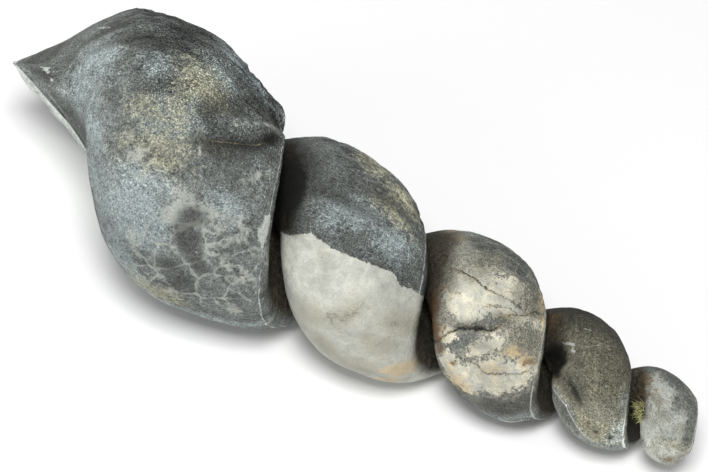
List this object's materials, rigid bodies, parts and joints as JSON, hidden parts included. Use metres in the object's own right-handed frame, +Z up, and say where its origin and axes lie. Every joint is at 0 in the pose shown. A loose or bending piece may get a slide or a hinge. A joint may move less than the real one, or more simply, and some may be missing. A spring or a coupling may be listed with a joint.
{
  "type": "fossil gastropod mold",
  "caption": "Internal stone mold of a high-spired sea snail: a loose right-handed corkscrew of whorls, lying on its side.",
  "frame": {"origin": "on the ground, under the middle of the overall box", "axes": "+X towards the small end, along the coil's axis as seen from above; +Z up; -Y towards the front"},
  "size_m": [0.1974, 0.068, 0.065],
  "materials": {
    "limestone": "dull grey limestone, blue-grey on the body whorl, cream and charcoal on the spire, with pale veins, fine cracks and rust stains"
  },
  "bodies": {
    "root": {"internal_mold": "limestone"}
  },
  "joints": []
}
